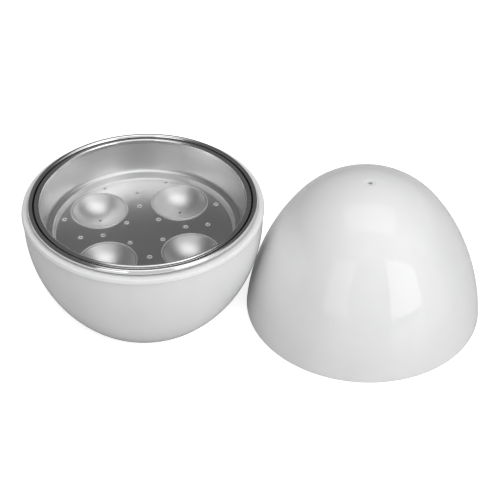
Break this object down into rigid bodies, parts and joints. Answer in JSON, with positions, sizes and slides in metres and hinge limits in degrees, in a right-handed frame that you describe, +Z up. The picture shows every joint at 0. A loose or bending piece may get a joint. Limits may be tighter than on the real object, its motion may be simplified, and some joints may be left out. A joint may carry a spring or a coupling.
{
  "type": "microwave egg cooker",
  "caption": "Egg-shaped microwave egg cooker: plastic bowl with an aluminium liner and a lift-out tray of egg cups, and a domed lid standing on its rim beside it.",
  "frame": {"origin": "centre of the bowl's flat foot, on the surface it stands on", "axes": "+Z up along the bowl's axis, +X from the bowl towards the lid that stands beside it"},
  "size_m": [0.2655, 0.138, 0.0887],
  "materials": {
    "white_plastic": "glossy moulded",
    "liner_aluminium": "spun, bright rolled rim",
    "tray_aluminium": "pressed, satin",
    "lid_aluminium": "spun, satin"
  },
  "bodies": {
    "base": {"base_shell": "white_plastic", "base_liner": "liner_aluminium"},
    "tray": {"egg_tray": "tray_aluminium"},
    "lid": {"lid_shell": "white_plastic", "lid_liner": "lid_aluminium"}
  },
  "joints": [
    {"name": "tray_lift", "type": "slide", "parent": "base", "child": "tray", "axis": [0, 0, 1], "range_m": [0, 0.08]},
    {"name": "lid_lift", "type": "slide", "parent": "base", "child": "lid", "axis": [0.2588, 0, 0.9659], "range_m": [0, 0.15]}
  ]
}
